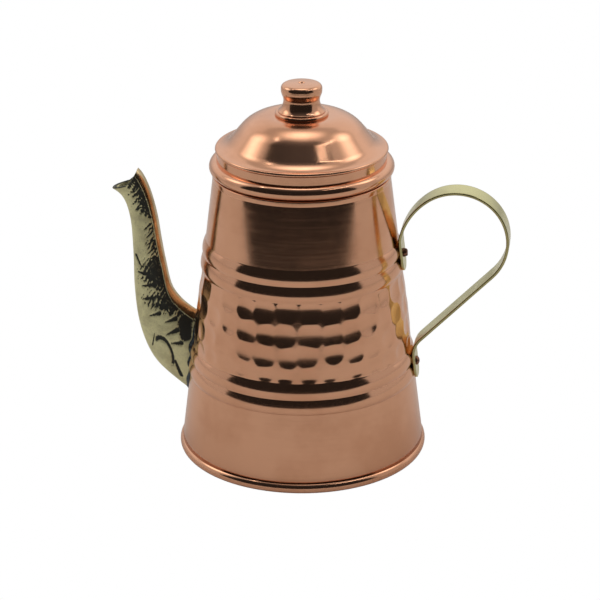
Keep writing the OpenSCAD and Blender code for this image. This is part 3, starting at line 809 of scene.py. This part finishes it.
def spout_skin(angles):
    """The outer skin with its relief, how sunk it is, and which points lie on the strip."""
    skin, span = spout_rows(angles, 0.0, BEAK_DROP, np.linspace(0, 1, SPOUT_ROWS))
    q = (1 - bulge(np.cos(angles), SPOUT_POWER)) / 2 * np.ones_like(span)
    sunk, boss = relief(skin, q, span)
    fade = np.clip((SPOUT_ROWS - 1 - np.arange(SPOUT_ROWS)) / FADE_ROWS, 0, 1)[:, None]
    height = BOSS_UP * boss - GROUND_DEPTH * sunk - SIDE_DEPTH * (q * span > STRIP_W)
    skin = skin + outward(skin) * (height * fade)[..., None]
    return skin, sunk, q * span < STRIP_W - STRIP_EDGE


def make_spout():
    angles = np.linspace(0, 2 * math.pi, SPOUT_COLUMNS, endpoint=False)
    skin, sunk, strip = spout_skin(angles)
    rim = [spout_rows(angles, inset, drop, np.ones(1))[0] for inset, drop in BEAK_RIM]
    bore, _ = spout_rows(angles, SPOUT_T, BEAK_DROP, np.linspace(1, 0, BORE_ROWS))
    grid = np.concatenate([skin, *rim, bore])
    piece = new_piece("cast_spout", grid.reshape(-1, 3), grid_faces(len(grid), SPOUT_COLUMNS),
                      "pot", [cast_brass(), bright], ["spout"])
    face_out(piece)
    patina = np.full(grid.shape[:2], BORE_PATINA)
    patina[:SPOUT_ROWS] = sunk
    patina[SPOUT_ROWS:-BORE_ROWS] = RIM_PATINA
    set_attribute(piece, "patina", patina.ravel())
    smooth = np.zeros(grid.shape[:2], bool)
    smooth[:SPOUT_ROWS] = strip
    smooth = smooth.ravel()
    for face in piece.data.polygons:
        face.material_index = int(all(smooth[v] for v in face.vertices))


# How far the solder reaches up the spout and out over the wall, how deep it is sunk in the
# wall, how much its face is drawn in, and roughly how long the spout's back edge is
SOLDER_UP, SOLDER_OUT, SOLDER_SUNK, SOLDER_DRAWN, SPOUT_BACK_L = 0.9, 1.0, 0.5, 0.38, 95


def make_spout_solder():
    """A dressed-down fillet of solder in the corner between the spout's root and the wall."""
    angles = np.linspace(0, 2 * math.pi, 200, endpoint=False)
    start, _ = spout_ends(angles, 0.0, BEAK_DROP, 0.0)
    foot, _ = spout_point(start, angles, 0.0)
    lift = SOLDER_UP + 0.25 * np.sin(5 * angles + 1) + 0.15 * np.sin(13 * angles)
    reach = SOLDER_OUT + 0.25 * np.sin(4 * angles) + 0.15 * np.sin(11 * angles + 2)
    up, _ = spout_point(start + lift / SPOUT_BACK_L, angles, -0.05)
    normal = unit(foot * (1, 1, 0))
    away = unit(np.cross(np.roll(foot, -1, axis=0) - np.roll(foot, 1, axis=0), normal))
    away *= np.sign((away * (foot - foot.mean(0))).sum(-1).mean())
    side = foot + away * reach[:, None]
    side[:, :2] *= (wall_face(side[:, 2]) / np.hypot(side[:, 0], side[:, 1]))[:, None]
    face = (1 - SOLDER_DRAWN) * (up + side) / 2 + SOLDER_DRAWN * foot
    rings = np.stack([foot - normal * SOLDER_SUNK, up, face, side, side - normal * 0.3])
    piece = new_piece("spout_solder_bead", rings.reshape(-1, 3),
                      grid_faces(len(rings), len(angles)), "pot", [lead],
                      ["spout_solder"])
    face_out(piece)


# ---- handle ----

STRAP_W, STRAP_T, TAB_OFF, TAB_CORNER = 13.4, 1.5, 0.9, 5.0
STRAP_EDGE, LOWER_BEND_R = 0.45, 12.0
UPPER_TAB_Z, LOWER_TAB_Z = 101.0, 41.5
# From the upper tab on: length of a straight or radius of a bend, and its turn in degrees
LOOP = ((15.4, 0), (11.5, -21), (34.5, -40.5), (26, -85), (26, -85))
# Distances from each end of the close stations round a tab's corners, and of the first even one
TAB_STATIONS, EVEN_FROM = (0.06, 0.4, 0.9, 1.6, 2.5, 3.6), 4.2


def tab_point(z):
    """Middle of the strap's thickness where a tab lies against the wall."""
    return np.array((wall_r(z) + TAB_OFF + STRAP_T / 2, z))


def along(at, size, turn, step=0.8):
    """Stations (x, z, heading) of a straight or a bend that starts at a station."""
    x, z, h = at
    if turn == 0:
        n = max(1, round(size / step))
        return [(x + size * i / n * math.cos(h), z + size * i / n * math.sin(h), h)
                for i in range(1, n + 1)]
    n = max(4, round(size * abs(turn) / step))
    r = math.copysign(size, turn)
    cx, cz = x - r * math.sin(h), z + r * math.cos(h)
    heads = [h + turn * i / n for i in range(1, n + 1)]
    return [(cx + r * math.sin(a), cz - r * math.cos(a), a) for a in heads]


def strap_stations():
    """Stations of the whole strap. The last straight and bend are found from the lower tab."""
    up = math.pi / 2 + LEAN
    path = [(*tab_point(UPPER_TAB_Z), up)]
    for size, turn in LOOP:
        path += along(path[-1], size, math.radians(turn))
    x, z, h = path[-1]
    down = -np.array((math.cos(up), math.sin(up)))
    way = np.array((math.cos(h), math.sin(h)))
    to_tab = tab_point(LOWER_TAB_Z) - (x, z)
    cross = way[0] * down[1] - way[1] * down[0]
    straight = (to_tab[0] * down[1] - to_tab[1] * down[0]) / cross
    turn = up - math.pi - h
    path += along(path[-1], straight - LOWER_BEND_R * math.tan(turn / 2), 0)
    path += along(path[-1], LOWER_BEND_R, turn)
    rest = np.linalg.norm(tab_point(LOWER_TAB_Z) - path[-1][:2])
    return path + along(path[-1], rest, 0)


def strap_half(s, total):
    """Half width of the strap at a distance along it, with its tabs' rounded corners."""
    end = min(s, total - s, TAB_CORNER)
    return STRAP_W / 2 - TAB_CORNER + math.sqrt(TAB_CORNER ** 2 - (TAB_CORNER - end) ** 2)


def strap_section(half):
    """Rounded outline (across, out) of the strap."""
    r, t = STRAP_EDGE, STRAP_T / 2
    flat = half - r
    corner = arc((flat, t - r), r, 90, 0, 3)
    face = [(flat * k, t) for k in (-0.93, -0.6, -0.2, 0.2, 0.6, 0.93)]
    top = [(-x, y) for x, y in corner[::-1]] + face + corner
    return top + [(x, -y) for x, y in top[::-1]]


def make_strap():
    path = strap_stations()
    spots = np.array([p[:2] for p in path])
    s = np.concatenate(([0], np.cumsum(np.linalg.norm(np.diff(spots, axis=0), axis=1))))
    even = s[(s > EVEN_FROM) & (s < s[-1] - EVEN_FROM)]
    marks = sorted({*TAB_STATIONS, *even, *(s[-1] - v for v in TAB_STATIONS)})
    heads = np.interp(marks, s, [p[2] for p in path])
    xs, zs = np.interp(marks, s, spots[:, 0]), np.interp(marks, s, spots[:, 1])
    verts, edge = [], []
    for m, x, z, h in zip(marks, xs, zs, heads):
        half = max(strap_half(m, s[-1]), STRAP_EDGE + 0.4)
        ripple = 0.05 * math.sin(m / 5.3) + 0.03 * math.sin(m / 2.1 + 1)
        for across, out in strap_section(half):
            off = -out + ripple * (abs(across) < half - 1)
            verts.append((x - off * math.sin(h), across, z + off * math.cos(h)))
            edge.append(abs(across) / (STRAP_W / 2))
    columns = len(strap_section(STRAP_W / 2))
    faces = grid_faces(len(marks), columns, closed=False)
    faces += [tuple(range(columns)), tuple(range(len(verts) - columns, len(verts)))]
    piece = new_piece("strap", verts, faces, "pot", [strap_brass()],
                      ["handle_strap"])
    face_out(piece)
    set_attribute(piece, "edge", edge)


# ---- rivets ----

RIVET_R, RIVET_HEAD_R, ROVE_R, ROVE_T = 2.0, 2.6, 4.2, 1.0
UPPER_RIVET_Z, LOWER_RIVET_Z, PEEN_H, PEEN_EDGE = 109.6, 49.6, 1.2, 0.9
STRAP_FACE, ROVE_TOP = TAB_OFF + STRAP_T, CREASE_OUT - SHEET - 0.2
FLAT_HEAD_H, FLAT_HEAD_R, FLAT_HEAD_EDGE, DOME_HEAD_H, FACET = 1.9, 1.35, 0.6, 1.5, 0.05


def make_rivet(name, z, head, node):
    """A rivet square to the wall. head is its head's outline from rim to middle."""
    low = ROVE_TOP - ROVE_T
    peen = (RIVET_R + ROVE_R) / 2
    end = arc((peen - PEEN_EDGE, low - PEEN_H + PEEN_EDGE), PEEN_EDGE, -90, 0, 6)
    shank = [(0.0, low - PEEN_H)] + end + [(peen, low), (RIVET_R, low), (RIVET_R, STRAP_FACE)]
    rim = [(RIVET_HEAD_R - 0.2, STRAP_FACE)] + head
    verts, faces = lathe([soften(shank + rim)], PIN_SEGMENTS)
    x, y, up = np.array(verts).T
    facets = FACET * np.sin(3 * np.arctan2(y, x) + z) * np.hypot(x, y) / RIVET_HEAD_R
    up = up + np.where(up > STRAP_FACE + 0.3, facets, 0)
    turn = np.array(Matrix.Rotation(math.pi / 2 - LEAN, 3, "Y"))
    verts = np.stack((x, y, up), -1) @ turn.T + np.array((wall_r(z), 0, z))
    piece = new_piece(name, verts, faces, "pot", [aged], [node])
    face_out(piece)


def make_rivets():
    edge = (FLAT_HEAD_R, STRAP_FACE + FLAT_HEAD_H - FLAT_HEAD_EDGE)
    flat = arc(edge, FLAT_HEAD_EDGE, 10, 90, 6)
    flat += [(r, STRAP_FACE + FLAT_HEAD_H) for r in (0.9, 0.5, 0.0)]
    make_rivet("flat_rivet", UPPER_RIVET_Z, flat, "upper_rivet")
    big = arc_r(DOME_HEAD_H, RIVET_HEAD_R)
    last = math.degrees(math.asin(RIVET_HEAD_R / big))
    top = STRAP_FACE + DOME_HEAD_H
    dome = arc((0, top - big), big, 90 - last, 90, 12)[1:-1] + [(0.0, top)]
    make_rivet("domed_rivet", LOWER_RIVET_Z, dome, "lower_rivet")


def finish_cad_nodes():
    """Materials for the small pieces that keep their CAD shape."""
    for node, material in (("base_solder", tin), ("foot_wire", steel),
                           ("rivet_roves", aged), ("knob_washer", aged)):
        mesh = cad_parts[node].data
        mesh.materials.clear()
        mesh.materials.append(material)


# ---- camera, light and floor ----

VIEW_AZIMUTH = 8.6
CAM_DISTANCE, CAM_HEIGHT, CAM_PITCH = 1.1121, 0.5412, 22.51
CAM_LENS, CAM_SHIFT_X, CAM_ROLL = 138.71, -0.0038, -0.19


def around(azimuth, distance, height):
    """A point at an azimuth from the camera's own, seen from above, in metres."""
    a = math.radians(VIEW_AZIMUTH + azimuth)
    return Vector((math.sin(a) * distance, -math.cos(a) * distance, height))


def make_camera():
    data = bpy.data.cameras.new("camera")
    data.lens, data.sensor_width, data.shift_x = CAM_LENS, 36.0, CAM_SHIFT_X
    data.clip_start, data.clip_end = 0.05, 50.0
    camera = add_object("camera", data)
    turn = Matrix.Rotation(math.radians(VIEW_AZIMUTH), 4, "Z")
    tilt = Matrix.Rotation(math.radians(90 - CAM_PITCH), 4, "X")
    roll = Matrix.Rotation(math.radians(CAM_ROLL), 4, "Z")
    place = Matrix.Translation(around(0, CAM_DISTANCE, CAM_HEIGHT))
    camera.matrix_world = place @ turn @ tilt @ roll
    bpy.context.scene.camera = camera


def glowing(name, colour):
    """A glowing material, its node tree, and the map range node that sets its strength."""
    material = bpy.data.materials.new(name)
    material.use_nodes = True
    tree = material.node_tree
    tree.nodes.clear()
    fade = tree.nodes.new("ShaderNodeMapRange")
    glow = tree.nodes.new("ShaderNodeEmission")
    out = tree.nodes.new("ShaderNodeOutputMaterial")
    glow.inputs["Color"].default_value = (*colour, 1)
    tree.links.new(fade.outputs[0], glow.inputs["Strength"])
    tree.links.new(glow.outputs[0], out.inputs["Surface"])
    return material, tree, fade


def emitter(name, low, high, heights, colour=(1, 1, 1)):
    """Glow that changes from low at the first height to high at the second."""
    material, tree, fade = glowing(name, colour)
    place = tree.nodes.new("ShaderNodeNewGeometry")
    parts = tree.nodes.new("ShaderNodeSeparateXYZ")
    for key, value in (("From Min", heights[0]), ("From Max", heights[1]),
                       ("To Min", low), ("To Max", high)):
        fade.inputs[key].default_value = value
    tree.links.new(place.outputs["Position"], parts.inputs[0])
    tree.links.new(parts.outputs[2], fade.inputs["Value"])
    return material


def stage_mesh(name, verts, faces, material, lights_diffuse=False):
    """A studio piece that the camera doesn't see and that casts no shadow."""
    mesh = bpy.data.meshes.new(name)
    mesh.from_pydata(verts, [], faces)
    mesh.materials.append(material)
    piece = add_object(name, mesh)
    piece.visible_camera = piece.visible_shadow = False
    piece.visible_diffuse = lights_diffuse
    return piece


def stage_strip(name, pairs, material):
    """A studio piece drawn through pairs of points."""
    verts = [point for pair in pairs for point in pair]
    faces = [(i, i + 1, i + 3, i + 2) for i in range(0, len(verts) - 2, 2)]
    stage_mesh(name, verts, faces, material)


def studio_card(name, azimuths, low, high, distance, material, steps=32):
    """A curved card round the pot. low and high give its edges' heights at an azimuth."""
    pairs = []
    for i in range(steps + 1):
        a = azimuths[0] + (azimuths[1] - azimuths[0]) * i / steps
        pairs.append((around(a, distance, low(a)), around(a, distance, high(a))))
    stage_strip(name, pairs, material)


def lamp_glow(name, peak, rim):
    """Glow of a diffused lamp: peak in the middle, down to rim at its edge."""
    material, tree, fade = glowing(name, (1, 0.98, 0.95))
    fade.interpolation_type = "SMOOTHSTEP"
    fade.inputs["To Min"].default_value = peak
    fade.inputs["To Max"].default_value = rim
    spread = tree.nodes.new("ShaderNodeAttribute")
    spread.attribute_name = "spread"
    tree.links.new(spread.outputs["Fac"], fade.inputs["Value"])
    return material


def toward(azimuth, elevation, distance):
    """A point seen from the lid at an azimuth from the camera's and an elevation."""
    e = math.radians(elevation)
    return around(azimuth, distance * math.cos(e), LID_Z * MM + distance * math.sin(e))


def diffused_lamp(name, azimuth, elevation, radii, peak, distance=1.3, rings=10, spokes=48):
    """An oval lamp, brightest in its middle, that faces the lid."""
    centre = toward(azimuth, elevation, distance)
    view = centre - Vector((0, 0, LID_Z * MM))
    turn = view.to_track_quat("Z", "Y")
    verts, faces, spread = [centre], [], [0.0]
    for i in range(1, rings + 1):
        for k in range(spokes):
            a = 2 * math.pi * k / spokes
            offset = Vector((radii[0] * math.cos(a), radii[1] * math.sin(a), 0)) * (i / rings)
            verts.append(centre + turn @ offset)
            spread.append(i / rings)
    for k in range(spokes):
        n = (k + 1) % spokes
        faces.append((0, 1 + k, 1 + n))
        for i in range(rings - 1):
            a, b = 1 + i * spokes, 1 + (i + 1) * spokes
            faces.append((a + k, b + k, b + n, a + n))
    glow = lamp_glow(name, peak, ROOM_LEVEL)
    set_attribute(stage_mesh(name, verts, faces, glow, lights_diffuse=True), "spread", spread)


def tube_lamp(name, start, end, width, material, distance=1.1, steps=8):
    """A thin light between two directions, given as (azimuth, elevation)."""
    pairs = []
    for i in range(steps + 1):
        a, e = [p + (q - p) * i / steps for p, q in zip(start, end)]
        pairs.append((toward(a, e - width / 2, distance), toward(a, e + width / 2, distance)))
    stage_strip(name, pairs, material)


def make_world(seen, lit):
    """White behind the pot, and a softer white all round it."""
    world = bpy.data.worlds.new("studio")
    bpy.context.scene.world = world
    world.use_nodes = True
    tree = world.node_tree
    back = tree.nodes["Background"]
    back.inputs["Color"].default_value = (1, 1, 1, 1)
    rays = tree.nodes.new("ShaderNodeLightPath")
    level = tree.nodes.new("ShaderNodeMapRange")
    level.inputs["To Min"].default_value = lit
    level.inputs["To Max"].default_value = seen
    tree.links.new(rays.outputs["Is Camera Ray"], level.inputs["Value"])
    tree.links.new(level.outputs[0], back.inputs["Strength"])


def make_floor():
    """A plain pale floor, which the copper reflects but the camera doesn't see."""
    mesh = bpy.data.meshes.new("floor")
    signs = ((-1, -1), (1, -1), (1, 1), (-1, 1))
    corners = [(x * FLOOR_HALF, y * FLOOR_HALF, 0) for x, y in signs]
    mesh.from_pydata(corners, [], [(0, 1, 2, 3)])
    floor = add_object("floor", mesh)
    g = Graph("pale_floor")
    speck = g.remap(g.noise(3.0, 2.0), 0.3, 0.7)
    tone = g.mix(speck, (0.80, 0.79, 0.775), (0.83, 0.82, 0.805))
    mesh.materials.append(g.finish(tone, 0.75, 0.0))
    floor.visible_camera = False


FLOOR_HALF, ROOM_LEVEL = 12.0, 0.49
# The dark card in front: its middle and half width in degrees, distance, height, the half width
# of the oval that its top follows, and how its low edge rises beyond an azimuth from the middle
DARK_MIDDLE, DARK_HALF, DARK_DISTANCE, DARK_HIGH, DARK_OVAL = -5, 71, 0.65, 3.05, 77
DARK_RISE, RISE_FROM, RISE_OVER = 0.055, 46, 24


def dark_low(azimuth):
    beyond = (abs(azimuth - DARK_MIDDLE) - RISE_FROM) / RISE_OVER
    return DARK_RISE * max(0.0, beyond) ** 1.3


def dark_high(azimuth):
    across = (azimuth - DARK_MIDDLE) / DARK_OVAL
    return DARK_HIGH * math.sqrt(max(0.0, 1 - across ** 4))


def make_studio():
    bpy.context.scene.view_settings.view_transform = "Standard"
    make_world(1.0, ROOM_LEVEL)
    make_floor()
    dark = emitter("dark", 0.024, 0.12, (0.7, 1.9), (0.92, 0.95, 1.0))
    studio_card("dark_side", (DARK_MIDDLE - DARK_HALF, DARK_MIDDLE + DARK_HALF),
                dark_low, dark_high, DARK_DISTANCE, dark)
    diffused_lamp("top_lamp", 180, 80, (0.62, 0.52), 2.3)
    diffused_lamp("left_lamp", -106, 38, (0.46, 0.50), 2.2)
    diffused_lamp("right_lamp", 107, 43, (0.46, 0.46), 2.2)
    back = emitter("back", ROOM_LEVEL, 0.80, (0.15, 0.75))
    studio_card("back_wall", (105, 255), lambda a: 0.10, lambda a: 2.0, 1.7, back)
    tube = emitter("tube", 4.5, 4.5, (0, 1), (1, 0.97, 0.92))
    tube_lamp("left_tube", (-80, 61), (-104, 66), 2.0, tube)
    tube_lamp("right_tube", (92, 54), (38, 58), 2.0, tube)
    tube_lamp("front_tube", (52, 57), (56, 46), 3.0, tube)


finish_cad_nodes()
make_body_shell()
make_base()
make_dome()
make_band()
make_collar()
make_knob_base()
make_knob()
make_pin()
make_spout()
make_spout_solder()
make_strap()
make_rivets()
make_camera()
make_studio()
